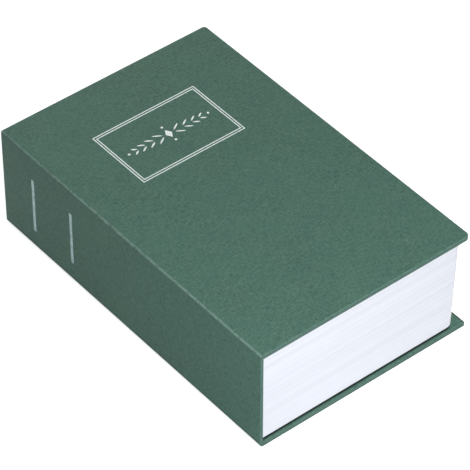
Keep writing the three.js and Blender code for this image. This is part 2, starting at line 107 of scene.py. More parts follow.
class BookSafeSizes(PropertyGroup):
    """Sizes of the finished surfaces, which sit on the frame's own sizes."""

    paper_thickness: length("Cover paper", "Thickness of the paper over the boards", 0.2)
    arris_radius: length("Top arris", "Radius of the paper hinge over the top of the spine", 1.1)
    foot_radius: length("Bottom arris", "Radius of the worn arris under the spine", 1.6)
    edge_radius: length("Board edges", "Radius of the paper as it turns over a board's edge", 0.45)
    hinge_overlap: length("Hinge paper", "How far the paper hinge reaches on to the front cover", 1.5)
    tail_corner: length("Tail corner", "Radius of the front cover's corner at the tail", 2.6)
    head_corner: length("Head corner", "Radius of the front cover's corner at the head", 1.6)
    back_corner: length("Back corners", "Radius of the back cover's two corners at the fore edge", 1.0)
    page_corner: length("Page corners", "Radius of the page block's corners at the fore edge", 4.5)
    page_draft: length("Page draft", "How far the page block's fore edge leans in towards its foot", 2.1)
    page_layers: IntProperty(
        name="Page layers", description="How many layers show in the edge of the page block",
        default=96, min=12,
    )
    foil_thickness: length("Foil", "How far the stamped foil stands on the paper", 0.03)
    foil_line: length("Frame lines", "Width of the two lines of the title frame", 0.5)


class BookSafeColours(PropertyGroup):
    """Colours as sRGB hex values."""

    cover_paper: hex_colour("Cover paper", "Green of the cover paper", "527969")
    foil: hex_colour("Foil", "Silver of the title's foil", "EEFFFB")
    rubbed_foil: hex_colour("Spine foil", "Duller silver of the spine's bars", "9DB1B3")
    pages: hex_colour("Pages", "White of the moulded page block", "F4F3F6")
    endpaper: hex_colour("Endpaper", "Cream of the endpaper", "F1EDE1")
    board: hex_colour("Board", "Grey of the pulp board", "8C877C")
    enamel: hex_colour("Cash box", "Black of the powder coat", "1E1F21")
    zinc: hex_colour("Zinc", "Grey of the plated steel", "B4B8BC")
    nickel: hex_colour("Nickel", "Tone of the lock's plating", "CBC8C1")
    brass: hex_colour("Brass", "Yellow of the lock plug", "C9A968")


# Colours and nodes


def channels(code):
    """The red, green and blue of a hex value, each from 0 to 255."""
    return [int(code[i:i + 2], 16) for i in (0, 2, 4)]


def hex_code(levels):
    """The hex value of a red, a green and a blue, held between 0 and 255."""
    return "".join(f"{min(255, max(0, round(level))):02X}" for level in levels)


def linear(code):
    """A colour as the shaders want it, from an sRGB hex value."""
    shares = [level / 255 for level in channels(code)]
    return (*[s / 12.92 if s <= 0.04045 else ((s + 0.055) / 1.055) ** 2.4 for s in shares], 1)


def shade(code, factor):
    """The same colour, lighter or darker by a factor on its sRGB values."""
    return hex_code(level * factor for level in channels(code))


def lifted(code, levels):
    """The same colour with so many levels of 255 added to each channel, so that only its tone changes."""
    return hex_code(level + levels for level in channels(code))


def add_node(tree, kind, inputs=None, **settings):
    """Adds a node with its settings. inputs gives each socket a value, another node's socket, or another
    node, which stands for the first of its outputs that is in use."""
    made = tree.nodes.new(kind)
    for name, value in settings.items():
        setattr(made, name, value)
    for socket, value in (inputs or {}).items():
        if isinstance(value, bpy.types.Node):
            value = next(output for output in value.outputs if output.enabled)
        if isinstance(value, bpy.types.NodeSocket):
            tree.links.new(value, made.inputs[socket])
        else:
            made.inputs[socket].default_value = value
    return made


def new_material(name):
    """An empty material, what adds a node to it, and the socket of a point's place on the piece."""
    material = bpy.data.materials.new(name)
    material.use_nodes = True
    material.node_tree.nodes.clear()
    add = partial(add_node, material.node_tree)
    return material, add, add("ShaderNodeTexCoord").outputs["Object"]


def finished(material, shader, inputs):
    """The material, with a shader of this kind as its surface."""
    add = partial(add_node, material.node_tree)
    add("ShaderNodeOutputMaterial", {"Surface": add(shader, inputs)})
    return material


def repeat_of(size_mm):
    """A noise scale whose features are about this many millimetres across."""
    return 1 / (size_mm * MM)


def powder_coat():
    """Powder-coated steel: a hard black film with the fine pebble of baked powder, 0.4 mm across."""
    colour = bpy.context.scene.book_safe_colours.enamel
    material, add, place = new_material("powder_coated_steel")
    pebble = add("ShaderNodeTexNoise", {"Vector": place, "Scale": repeat_of(0.45)})
    cloud = add("ShaderNodeTexNoise", {"Vector": place, "Scale": repeat_of(14)})
    tone = add("ShaderNodeMix", {
        0: cloud, 6: linear(shade(colour, 0.92)), 7: linear(shade(colour, 1.18)),
    }, data_type="RGBA")
    gloss = add("ShaderNodeMapRange", {"Value": pebble, "To Min": 0.38, "To Max": 0.56})
    bump = add("ShaderNodeBump", {"Height": pebble, "Strength": 0.35, "Distance": 0.05 * MM})
    return finished(material, "ShaderNodeBsdfPrincipled", {
        "Base Color": tone, "Roughness": gloss, "Normal": bump, "IOR": 1.5,
    })


def plated_metal(name, colour, roughness, depth=0.3, grain_mm=0.25, grain_axis=1):
    """A metal surface with fine parallel marks along one axis, left by rolling, turning or polishing."""
    material, add, place = new_material(name)
    stretch = [1.0, 1.0, 1.0]
    stretch[grain_axis] = 0.04
    turned = add("ShaderNodeMapping", {"Vector": place, "Scale": stretch})
    grain = add("ShaderNodeTexNoise", {"Vector": turned, "Scale": repeat_of(grain_mm), "Detail": 3.0})
    bloom = add("ShaderNodeTexNoise", {"Vector": place, "Scale": repeat_of(5), "Detail": 3.0})
    tone = add("ShaderNodeMix", {
        0: bloom, 6: linear(shade(colour, 0.9)), 7: linear(shade(colour, 1.05)),
    }, data_type="RGBA")
    gloss = add("ShaderNodeMapRange", {
        "Value": grain, "To Min": roughness - 0.07, "To Max": roughness + 0.09,
    })
    bump = add("ShaderNodeBump", {"Height": grain, "Strength": depth, "Distance": 0.02 * MM})
    return finished(material, "ShaderNodeBsdfPrincipled", {
        "Base Color": tone, "Roughness": gloss, "Normal": bump, "Metallic": 1.0,
    })


def binding_paper():
    """Printed binding paper, glued over board: a matt green with a mottled, linen-like grain under
    a millimetre, a hue that drifts over 9 mm and clouds of a few centimetres. Its arrises are pale, partly
    from wear and partly as painted highlight; painted shade darkens its edge faces and the paper under the
    page block."""
    colour = bpy.context.scene.book_safe_colours.cover_paper
    sizes = bpy.context.scene.book_safe_sizes
    material, add, place = new_material("green_binding_paper")

    # Threads that run both ways, under a stronger mottle
    mottle = add("ShaderNodeTexNoise", {
        "Vector": place, "Scale": repeat_of(1.1), "Detail": 6.0, "Roughness": 0.72,
    })
    threads = []
    for stretch in ((1.0, 0.22, 1.0), (0.22, 1.0, 0.22)):
        drawn = add("ShaderNodeMapping", {"Vector": place, "Scale": stretch})
        threads.append(add("ShaderNodeTexNoise", {"Vector": drawn, "Scale": repeat_of(0.6)}))
    weave = add("ShaderNodeMath", {0: threads[0], 1: threads[1]}, operation="ADD")
    grain = add("ShaderNodeMath", {0: mottle, 1: 1.8, 2: weave}, operation="MULTIPLY_ADD")
    fine = add("ShaderNodeMapRange", {"Value": grain, "From Min": 1.3, "From Max": 2.5})
    tone = add("ShaderNodeMix", {
        0: fine, 6: linear(lifted(colour, -27)), 7: linear(lifted(colour, 27)),
    }, data_type="RGBA")

    # Clouds, and the drift of the hue
    cloud = add("ShaderNodeTexNoise", {"Vector": place, "Scale": repeat_of(24)})
    wide = add("ShaderNodeMapRange", {"Value": cloud, "From Min": 0.3, "From Max": 0.7, "To Max": 0.3})
    clouded = add("ShaderNodeMix", {0: wide, 6: tone, 7: linear(shade(colour, 1.12))}, data_type="RGBA")
    drift = add("ShaderNodeTexNoise", {"Vector": place, "Scale": repeat_of(9)})
    share = add("ShaderNodeMapRange", {"Value": drift, "From Min": 0.35, "From Max": 0.65})
    tint = add("ShaderNodeMix", {0: share, 6: linear("FFFCFA"), 7: linear("F4F6F8")}, data_type="RGBA")
    tinted = add("ShaderNodeMix", {0: 1.0, 6: clouded, 7: tint}, data_type="RGBA", blend_type="MULTIPLY")

    # Arrises at the head, tail and fore edge, paled by wear and by painted highlight, and painted shade on
    # the board edges' faces next to them
    axes = add("ShaderNodeSeparateXYZ", {"Vector": place})
    half = add("ShaderNodeMath", {0: axes.outputs["Y"]}, operation="ABSOLUTE")
    arrises, faces = [], []
    for value, face in ((half, HEAD_FACE), (axes.outputs["X"], FORE_FACE)):
        off = add("ShaderNodeMath", {0: value, 1: face - 0.35 * MM}, operation="SUBTRACT")
        apart = add("ShaderNodeMath", {0: off}, operation="ABSOLUTE")
        arrises.append(add("ShaderNodeMapRange", {
            "Value": apart, "From Min": 0.33 * MM, "From Max": 0.1 * MM, "To Max": 0.45,
        }))
        faces.append(add("ShaderNodeMapRange", {
            "Value": value, "From Min": face - 0.15 * MM, "From Max": face - 0.02 * MM, "To Max": 0.4,
        }))

    # The crease along the spine's top arris, measured across it, paled by wear and by painted highlight
    rise = add("ShaderNodeMath", {0: axes.outputs["Z"], 1: axes.outputs["X"]}, operation="SUBTRACT")
    top = COVER_TOP - SPINE_FACE
    crease = add("ShaderNodeMapRange", {
        "Value": rise, "From Min": top - 0.98 * MM, "From Max": top - 0.70 * MM, "To Max": 1.5,
    })
    edges = add("ShaderNodeMath", {0: arrises[0], 1: arrises[1]}, operation="MAXIMUM")
    worn = add("ShaderNodeMath", {0: edges, 1: crease}, operation="MAXIMUM")
    rubbed = add("ShaderNodeMath", {0: worn, 1: fine}, operation="MULTIPLY")
    # Arrises and crease paler: partly wear, partly painted highlight
    paled_by_wear_and_highlight = add("ShaderNodeMix", {0: rubbed, 6: tinted, 7: linear("97B8A9")}, data_type="RGBA")
    # Painted shade: the edge faces are darker and greyer than the top
    edge_face_shade_share = add("ShaderNodeMath", {0: faces[0], 1: faces[1]}, operation="MAXIMUM")
    edge_faces_painted_shade = add("ShaderNodeMix", {0: edge_face_shade_share, 6: paled_by_wear_and_highlight, 7: linear("4A5752")}, data_type="RGBA")

    # Painted shade on the back cover under the pages, which shows where the block's foot is drawn in
    corner = sizes.page_corner
    foot_edge = PAGES_HIGH.x - sizes.page_draft
    beyond = []
    for value, edge in ((axes.outputs["X"], foot_edge), (half, PAGES_HIGH.y)):
        past = add("ShaderNodeMath", {0: value, 1: edge - corner}, operation="SUBTRACT")
        beyond.append(add("ShaderNodeMath", {0: past, 1: 0.0}, operation="MAXIMUM"))
    reach = add("ShaderNodeVectorMath", {
        0: add("ShaderNodeCombineXYZ", {"X": beyond[0], "Y": beyond[1]}),
    }, operation="LENGTH")
    covered = add("ShaderNodeMapRange", {
        "Value": reach, "From Min": corner, "From Max": corner - 0.5 * MM,
    })
    level = add("ShaderNodeMath", {
        0: axes.outputs["Z"], 1: BACK_COVER_TOP, 2: 0.1 * MM,
    }, operation="COMPARE")
    painted_shade_under_pages = add("ShaderNodeMath", {0: covered, 1: level}, operation="MULTIPLY")
    # Painted shade: the paper is darkened to three tenths of its colour under the page block
    paper_with_painted_light = add("ShaderNodeMix", {0: painted_shade_under_pages, 6: edge_faces_painted_shade, 7: linear(shade(colour, 0.3))}, data_type="RGBA")
    bump = add("ShaderNodeBump", {"Height": grain, "Strength": 0.3, "Distance": 0.06 * MM})
    return finished(material, "ShaderNodeBsdfPrincipled", {
        "Base Color": paper_with_painted_light, "Roughness": 0.68, "Normal": bump,
        "IOR": 1.45, "Specular IOR Level": 0.35,
    })


def page_plastic():
    """Moulded polystyrene that stands for pages: white, half matt, with faint lines 0.3 mm apart."""
    colour = bpy.context.scene.book_safe_colours.pages
    material, add, place = new_material("moulded_page_plastic")
    flat = add("ShaderNodeMapping", {"Vector": place, "Scale": (0.006, 0.006, 1.0)})
    lines = add("ShaderNodeTexNoise", {"Vector": flat, "Scale": repeat_of(0.7), "Detail": 3.0})
    bands = add("ShaderNodeTexNoise", {"Vector": flat, "Scale": repeat_of(2.6), "Detail": 1.0})
    both = add("ShaderNodeMath", {0: bands, 1: 1.6, 2: lines}, operation="MULTIPLY_ADD")
    amount = add("ShaderNodeMapRange", {"Value": both, "From Min": 0.9, "From Max": 1.6})
    tone = add("ShaderNodeMix", {
        0: amount, 6: linear(shade(colour, 0.965)), 7: linear(colour),
    }, data_type="RGBA")
    bump = add("ShaderNodeBump", {"Height": lines, "Strength": 0.15, "Distance": 0.05 * MM})
    return finished(material, "ShaderNodeBsdfPrincipled", {
        "Base Color": tone, "Roughness": 0.5, "Normal": bump, "IOR": 1.5,
    })


def fibre_sheet(name, colour, fibre_mm, contrast, depth):
    """Paper or pulp board, pressed from fibres: flecks of light and dark, wholly matt."""
    material, add, place = new_material(name)
    drawn = add("ShaderNodeMapping", {"Vector": place, "Scale": (1.0, 0.3, 1.0)})
    fibres = add("ShaderNodeTexNoise", {
        "Vector": drawn, "Scale": repeat_of(fibre_mm), "Detail": 6.0, "Roughness": 0.65,
    })
    cloud = add("ShaderNodeTexNoise", {"Vector": place, "Scale": repeat_of(18)})
    spread = add("ShaderNodeMapRange", {"Value": fibres, "From Min": 0.32, "From Max": 0.68})
    tone = add("ShaderNodeMix", {
        0: spread,
        6: linear(shade(colour, 1 - contrast)), 7: linear(shade(colour, 1 + contrast / 2)),
    }, data_type="RGBA")
    wide = add("ShaderNodeMapRange", {"Value": cloud, "To Max": 0.3})
    clouded = add("ShaderNodeMix", {
        0: wide, 6: tone, 7: linear(shade(colour, 1 - contrast / 2)),
    }, data_type="RGBA")
    bump = add("ShaderNodeBump", {"Height": fibres, "Strength": depth, "Distance": 0.05 * MM})
    return finished(material, "ShaderNodeBsdfPrincipled", {
        "Base Color": clouded, "Roughness": 0.88, "Normal": bump, "IOR": 1.4,
    })


def stamped_foil(name, colour, wear):
    """Silver foil, pressed hot into the paper: a soft metal gloss, broken by the paper's own grain, and
    rubbed off in patches of two millimetres, where the green shows through."""
    paper = bpy.context.scene.book_safe_colours.cover_paper
    material, add, place = new_material(name)
    grain = add("ShaderNodeTexNoise", {"Vector": place, "Scale": repeat_of(0.35), "Detail": 3.0})
    tone = add("ShaderNodeMix", {
        0: grain, 6: linear(shade(colour, 0.9)), 7: linear(shade(colour, 1.06)),
    }, data_type="RGBA")
    gloss = add("ShaderNodeMapRange", {"Value": grain, "To Min": 0.3, "To Max": 0.55})
    bump = add("ShaderNodeBump", {"Height": grain, "Strength": 0.25, "Distance": 0.03 * MM})
    rubbing = add("ShaderNodeTexNoise", {
        "Vector": place, "Scale": repeat_of(2), "Detail": 5.0, "Roughness": 0.7,
    })
    bare = add("ShaderNodeMapRange", {
        "Value": rubbing, "From Min": 0.42, "From Max": 0.66, "To Max": wear,
    })
    rubbed = add("ShaderNodeMix", {0: bare, 6: tone, 7: linear(paper)}, data_type="RGBA")
    return finished(material, "ShaderNodeBsdfPrincipled", {
        "Base Color": rubbed, "Roughness": gloss, "Normal": bump, "Metallic": 0.7,
    })


@cache
def finish_of(slot):
    """The material of one of the record's slots, or of the weld marks, made once."""
    colours = bpy.context.scene.book_safe_colours
    makers = {
        "cover_paper": binding_paper,
        "greyboard": lambda: fibre_sheet(
            "grey_pulp_board", colours.board, fibre_mm=0.7, contrast=0.22, depth=0.6),
        "endpaper": lambda: fibre_sheet(
            "cream_endpaper", colours.endpaper, fibre_mm=0.9, contrast=0.05, depth=0.2),
        "page_plastic": page_plastic,
        "box_enamel": powder_coat,
        "zinc_steel": lambda: plated_metal("zinc_plated_steel", colours.zinc, roughness=0.36),
        "weld_mark": lambda: plated_metal("weld_dulled_zinc", shade(colours.zinc, 0.74), roughness=0.52),
        "lock_nickel": lambda: plated_metal(
            "polished_nickel", colours.nickel, roughness=0.2, depth=0.12, grain_mm=0.2, grain_axis=0),
        "plug_brass": lambda: plated_metal(
            "turned_brass", colours.brass, roughness=0.27, depth=0.2, grain_mm=0.2, grain_axis=0),
    }
    return makers[slot]()


# Modelling by hand


def activate(piece):
    """Selects one object alone and makes it the active one."""
    bpy.ops.object.select_all(action="DESELECT")
    piece.select_set(True)
    bpy.context.view_layer.objects.active = piece


def add_primitive(name, operator, location=(0, 0, 0), **settings):
    """Adds a primitive with nothing else selected, and puts its place into its mesh."""
    bpy.ops.object.select_all(action="DESELECT")
    operator(location=location, **settings)
    piece = bpy.context.object
    piece.name = name
    piece.data.name = name
    bpy.ops.object.transform_apply(location=True, rotation=True, scale=True)
    return piece


def add_block(name, low, high):
    """A cube between two corners."""
    low, high = Vector(low), Vector(high)
    return add_primitive(
        name, bpy.ops.mesh.primitive_cube_add, size=1, location=(low + high) / 2, scale=high - low,
    )


def pick(piece, kind, test):
    """Goes into edit mode with only what passes the test selected: a vertex by its place, an edge by
    its two ends, a face by its centre and normal."""
    activate(piece)
    bpy.ops.object.mode_set(mode="EDIT")
    bpy.ops.mesh.select_mode(type=kind)
    bpy.ops.mesh.select_all(action="DESELECT")
    bpy.ops.object.mode_set(mode="OBJECT")
    mesh = piece.data
    if kind == "VERT":
        for vertex in mesh.vertices:
            vertex.select = test(vertex.co)
    elif kind == "EDGE":
        for edge in mesh.edges:
            edge.select = test(*[mesh.vertices[i].co for i in edge.vertices])
    else:
        for face in mesh.polygons:
            face.select = test(face.center, face.normal)
    bpy.ops.object.mode_set(mode="EDIT")


def edit(piece, kind, test, operator, **settings):
    """Runs one operator in edit mode on what passes the test, which is one for pick."""
    pick(piece, kind, test)
    operator(**settings)
    bpy.ops.object.mode_set(mode="OBJECT")


def anything(*_):
    """The test that everything passes."""
    return True


def close_to(value, target):
    """True within a hundredth of a millimetre."""
    return abs(value - target) < 0.01 * MM


def edge_on(**levels):
    """The test for an edge with both ends at these levels, such as edge_on(x=0.01, z=0)."""
    return lambda *ends: all(
        close_to(getattr(end, axis), level) for end in ends for axis, level in levels.items()
    )


def upright(a, b):
    """The test for an edge that leads up or down."""
    return not close_to(a.z, b.z)


def round_edges(piece, test, radius, segments):
    """Bevels the edges that pass the test."""
    edit(piece, "EDGE", test, bpy.ops.mesh.bevel, offset=radius, segments=segments, affect="EDGES")


def slice_at(piece, point, normal, test=anything):
    """Cuts the faces that pass the test, or a loop all round the piece, along a plane."""
    edit(piece, "FACE", test, bpy.ops.mesh.bisect, plane_co=point, plane_no=normal)


def apply_modifier(piece, kind, **settings):
    """Adds a modifier with its settings and applies it."""
    activate(piece)
    modifier = piece.modifiers.new(kind.title(), kind)
    for name, value in settings.items():
        setattr(modifier, name, value)
    bpy.ops.object.modifier_apply(modifier=modifier.name)


def cut_with(piece, cutter):
    """Cuts one solid out of another and removes the cutter."""
    apply_modifier(piece, "BOOLEAN", object=cutter, operation="DIFFERENCE", solver="EXACT")
    bpy.data.objects.remove(cutter)


def hollow_out(piece, name, low, high, corner, segments=8):
    """Cuts a block with rounded uprights out of a solid."""
    cutter = add_block(name, low, high)
    round_edges(cutter, upright, corner, segments)
    cut_with(piece, cutter)


def break_edges(piece, width, segments, angle=60, **settings):
    """Rounds every edge that turns by more than an angle, by a little."""
    apply_modifier(
        piece, "BEVEL", width=width, segments=segments, limit_method="ANGLE",
        angle_limit=math.radians(angle), use_clamp_overlap=True, **settings,
    )


def thicken(skin):
    """Gives a skin of paper its thickness, inwards, and a twentieth less of it to clear the board."""
    share = 0.95
    thickness = bpy.context.scene.book_safe_sizes.paper_thickness
    apply_modifier(skin, "SOLIDIFY", thickness=thickness * share, offset=-1)


def smooth(piece, degrees=35):
    """Shades the piece smooth across its shallow angles."""
    activate(piece)
    bpy.ops.object.shade_smooth_by_angle(angle=math.radians(degrees))


def smooth_bends(piece):
    """Shades sheet metal smooth round its bends and even over its flats."""
    smooth(piece)
    apply_modifier(piece, "WEIGHTED_NORMAL", keep_sharp=True)


def settle(piece, body, slot, *nodes, material=None):
    """Gives a finished piece its material, its body and the nodes that it stands for."""
    piece.data.materials.clear()
    piece.data.materials.append(material or finish_of(slot))
    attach(piece, body)
    if nodes:
        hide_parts(*nodes)


def join(pieces, name):
    """Joins several meshes into the first of them, under a new name."""
    joined = pieces[0]
    activate(joined)
    for piece in pieces:
        piece.select_set(True)
    bpy.ops.object.join()
    joined.name = name
    joined.data.name = name
    return joined


def softened(node, name, width):
    """A copy of a node with its loose triangles merged and its sharp edges broken by a narrow bevel."""
    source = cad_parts[node]
    piece = bpy.data.objects.new(name, source.data.copy())
    piece.data.name = name
    bpy.context.scene.collection.objects.link(piece)
    for layer in list(piece.data.attributes):
        if layer.name == "custom_normal":
            piece.data.attributes.remove(layer)
    pick(piece, "FACE", anything)
    bpy.ops.mesh.remove_doubles(threshold=0.001 * MM)
    bpy.ops.mesh.dissolve_limited(angle_limit=math.radians(0.5))
    bpy.ops.object.mode_set(mode="OBJECT")
    break_edges(piece, width, segments=2, angle=40, miter_outer="MITER_ARC")
    smooth_bends(piece)
    return piece


# The book case


class BOOKSAFE_OT_boards(Operator):
    """Gives the pulp boards inside the paper their finish"""

    bl_idname = "booksafe.boards"
    bl_label = "Boards"

    def execute(self, context):
        for node in ("back_cover_board", "spine_board", "front_cover_board"):
            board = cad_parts[node]
            board.data.materials.clear()
            board.data.materials.append(finish_of("greyboard"))
        return {"FINISHED"}


class BOOKSAFE_OT_case_paper(Operator):
    """Models the paper round the back cover and the spine, a shell with both boards inside it"""

    bl_idname = "booksafe.case_paper"
    bl_label = "Case Paper"

    def execute(self, context):
        sizes = context.scene.book_safe_sizes
        end_radius = sizes.edge_radius
        fore_radius = 0.8 * sizes.edge_radius
        slack = 0.1 * MM
        spine_inside = PAGES_LOW.x
        column_top = SPINE_BOARD_TOP + sizes.paper_thickness

        def seam_of_column(a, b):
            ends = min(a.x, b.x) < spine_inside - slack and max(a.x, b.x) < spine_inside + slack
            return ends and edge_on(z=BACK_COVER_TOP)(a, b)

        def back_corner(a, b):
            return edge_on(x=FORE_FACE)(a, b) and close_to(a.y, b.y)

        def at_an_end(a, b):
            at_end = close_to(abs(a.y), HEAD_FACE) and close_to(abs(b.y), HEAD_FACE) and a.y * b.y > 0
            return at_end and not edge_on(z=column_top)(a, b)

        def along_fore_edge(a, b):
            level = edge_on(z=0)(a, b) or edge_on(z=BACK_COVER_TOP)(a, b)
            far = min(a.x, b.x) > FORE_FACE - 1.5 * sizes.back_corner
            return level and far and max(abs(a.y), abs(b.y)) < HEAD_FACE - end_radius / 2

        paper = add_block("case_paper", CASE_LOW, (FORE_FACE, HEAD_FACE, BACK_COVER_TOP))
        slice_at(paper, (spine_inside, 0, 0), (1, 0, 0), lambda centre, normal: normal.z > 0.5)
        edit(
            paper, "FACE", lambda centre, normal: normal.z > 0.5 and centre.x < spine_inside,
            bpy.ops.mesh.extrude_region_move,
            TRANSFORM_OT_translate={"value": (0, 0, column_top - BACK_COVER_TOP)},
        )
        edit(paper, "EDGE", seam_of_column, bpy.ops.mesh.dissolve_edges, use_verts=True)
        round_edges(paper, back_corner, sizes.back_corner, segments=5)
        round_edges(paper, edge_on(x=SPINE_FACE, z=0), sizes.foot_radius, segments=8)
        round_edges(paper, at_an_end, end_radius, segments=4)
        round_edges(paper, along_fore_edge, fore_radius, segments=3)
        thicken(paper)
        smooth(paper)
        settle(paper, "book_base", "cover_paper", "back_cover_paper", "spine_paper")
        return {"FINISHED"}


class BOOKSAFE_OT_front_cover_paper(Operator):
    """Models the paper over the front cover, turned in over its three outer edges"""

    bl_idname = "booksafe.front_cover_paper"
    bl_label = "Front Cover Paper"

    def execute(self, context):
        sizes = context.scene.book_safe_sizes
        hinge_end = SPINE_FACE + sizes.hinge_overlap
        under_arris = COVER_TOP - sizes.edge_radius

        def outer_edge(a, b):
            return close_to(a.z, b.z) and max(a.x, b.x) > COVER_SPINE_EDGE + MM

        def under_hinge(centre, normal):
            return centre.x < hinge_end and (normal.x < -0.9 or centre.z > under_arris)

        paper = add_block(
            "front_cover_paper_skin", (COVER_SPINE_EDGE, -HEAD_FACE, COVER_UNDERSIDE), CASE_HIGH,
        )
        for side, radius in ((-1, sizes.tail_corner), (1, sizes.head_corner)):
            round_edges(paper, edge_on(x=FORE_FACE, y=side * HEAD_FACE), radius, segments=8)
        round_edges(paper, outer_edge, sizes.edge_radius, segments=4)
        slice_at(paper, (hinge_end, 0, 0), (1, 0, 0))
        edit(paper, "FACE", under_hinge, bpy.ops.mesh.delete, type="FACE")
        thicken(paper)
        smooth(paper)
        settle(paper, "front_cover", "cover_paper", "front_cover_paper")
        return {"FINISHED"}


class BOOKSAFE_OT_hinge_paper(Operator):
    """Models the strip of paper over the top arris of the spine, which is the front cover's hinge"""

    bl_idname = "booksafe.hinge_paper"
    bl_label = "Hinge Paper"

    def execute(self, context):
        sizes = context.scene.book_safe_sizes
        radius = sizes.arris_radius
        bottom = SPINE_BOARD_TOP + sizes.paper_thickness
        hinge_end = SPINE_FACE + sizes.hinge_overlap

        def at_an_outer_end(a, b):
            at_end = close_to(abs(a.y), HEAD_FACE) and a.y * b.y > 0 and close_to(a.y, b.y)
            return at_end and not edge_on(z=bottom)(a, b) and not edge_on(x=hinge_end)(a, b)

        def not_outside(centre, normal):
            return normal.z < -0.9 or normal.x > 0.9 or abs(normal.y) > 0.999

        strip = add_block(
            "hinge_paper", (SPINE_FACE, -HEAD_FACE, bottom), (hinge_end, HEAD_FACE, COVER_TOP),
        )
        round_edges(strip, edge_on(x=SPINE_FACE, z=COVER_TOP), radius, segments=10)
        round_edges(strip, at_an_outer_end, sizes.edge_radius, segments=4)
        edit(strip, "FACE", not_outside, bpy.ops.mesh.delete, type="FACE")
        thicken(strip)
        smooth(strip, degrees=60)
        strip.data.materials.append(finish_of("cover_paper"))
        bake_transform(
            strip, "book_base", "front_cover",
            start=(SPINE_FACE, 0, COVER_TOP - radius), end=(SPINE_FACE + radius, 0, COVER_TOP),
        )
        return {"FINISHED"}


class BOOKSAFE_OT_endpaper(Operator):
    """Models the endpaper pasted inside the front cover, sunk where the turned-in paper ends"""

    bl_idname = "booksafe.endpaper"
    bl_label = "Endpaper"

    def execute(self, context):
        low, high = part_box("front_endpaper")
        turn_in = 10.7 * MM
        ramp = 0.6 * MM
        sunk = 0.07 * MM
        corner = 1.0 * MM
        gap_to_cover = 0.01 * MM
        fore = high.x - turn_in
        side = high.y - turn_in

        def fore_corner(a, b):
            return edge_on(x=high.x)(a, b) and close_to(a.y, b.y)

        def inside_turn_in(centre, normal):
            return normal.z < -0.5 and centre.x < fore and abs(centre.y) < side

        sheet = add_block("pasted_endpaper", low, (high.x, high.y, COVER_UNDERSIDE - gap_to_cover))
        round_edges(sheet, fore_corner, corner, segments=5)
        slice_at(sheet, (fore, 0, 0), (1, 0, 0))
        slice_at(sheet, (0, side, 0), (0, 1, 0))
        slice_at(sheet, (0, -side, 0), (0, 1, 0))
        pick(sheet, "FACE", inside_turn_in)
        bpy.ops.mesh.inset(thickness=ramp, depth=0)
        bpy.ops.transform.translate(value=(0, 0, sunk))
        bpy.ops.object.mode_set(mode="OBJECT")
        smooth(sheet, degrees=20)
        settle(sheet, "front_cover", "endpaper", "front_endpaper")
        return {"FINISHED"}


# Stamped foil


def foil_ring(name, low, high, line):
    """A rectangular line of foil on the front cover, still without thickness."""
    width, height = high - low
    ring = add_primitive(name, bpy.ops.mesh.primitive_plane_add, size=1)
    pick(ring, "FACE", anything)
    bpy.ops.transform.resize(value=(width, height, 1), center_override=(0, 0, 0))
    bpy.ops.transform.translate(value=(*(low + high) / 2, COVER_TOP))
    bpy.ops.mesh.inset(thickness=line)
    bpy.ops.mesh.delete(type="FACE")
    bpy.ops.object.mode_set(mode="OBJECT")
    return ring


def foil_leaf(span, width, place, turn=0):
    """A pointed leaf of foil on the front cover, or a lozenge where it isn't much longer than wide.
    It is still without thickness."""
    slender = 1.6
    rounding = 0.42
    leaf = add_primitive(
        "foil_leaf", bpy.ops.mesh.primitive_circle_add, vertices=4, radius=0.5, fill_type="NGON",
    )
    edit(
        leaf, "VERT", anything, bpy.ops.transform.resize,
        value=(span, width, 1), center_override=(0, 0, 0),
    )
    # The two side corners of a leaf are rounded off over most of its length
    if span > width * slender:
        edit(
            leaf, "VERT", lambda point: abs(point.y) > width / 4, bpy.ops.mesh.bevel,
            offset=span * rounding, segments=8, affect="VERTICES", clamp_overlap=True,
        )
    pick(leaf, "VERT", anything)
    bpy.ops.transform.rotate(value=-turn, orient_axis="Z", center_override=(0, 0, 0))
    bpy.ops.transform.translate(value=(*place, COVER_TOP))
    bpy.ops.object.mode_set(mode="OBJECT")
    return leaf


class BOOKSAFE_OT_title_foil(Operator):
    """Stamps the double-line title frame on the front cover, with a plain binder's sprig inside it"""

    bl_idname = "booksafe.title_foil"
    bl_label = "Title Foil"

    def execute(self, context):
        sizes = context.scene.book_safe_sizes

        # The frame's corners, from the cover's spine edge and tail, and the step to its inner line
        origin = Vector((SPINE_FACE, -HEAD_FACE))
        low = origin + Vector((27.95, 113.4)) * MM
        high = origin + Vector((84.4, 150.3)) * MM
        step = Vector((1.16, 1.27)) * MM
        pieces = [
            foil_ring("title_line_outer", low, high, sizes.foil_line),
            foil_ring("title_line_inner", low + step, high - step, sizes.foil_line),
        ]

        # A lozenge in the middle, four pairs of leaves to each side of it, and four dots round them
        middle = (low + high) / 2
        lozenge = Vector((3.4, 5.6)) * MM
        dot = 1.5 * MM
        leaf_width = 1.5 * MM
        splay = math.radians(32)
        dots = ((-22, 0), (22, 0), (0, -5), (0, 5))
        reaches = (5.2, 10.0, 14.4, 18.4)
        lifts = (1.9, 1.68, 1.46, 1.24)
        lengths = (5.0, 4.4, 3.8, 3.2)
        pieces.append(foil_leaf(*lozenge, middle))
        for side in (-1, 1):
            for reach, lift, leaf_length in zip(reaches, lifts, lengths):
                for tilt in (-1, 1):
                    place = middle + Vector((side * reach, tilt * lift)) * MM
                    turn = side * tilt * splay
                    pieces.append(foil_leaf(leaf_length * MM, leaf_width, place, turn))
        for place in dots:
            pieces.append(foil_leaf(dot, dot, middle + Vector(place) * MM))
        foil = join(pieces, "title_foil")
        apply_modifier(foil, "SOLIDIFY", thickness=sizes.foil_thickness, offset=1)
        colour = context.scene.book_safe_colours.foil
        settle(foil, "front_cover", None, material=stamped_foil("stamped_silver_foil", colour, wear=0.15))
        return {"FINISHED"}


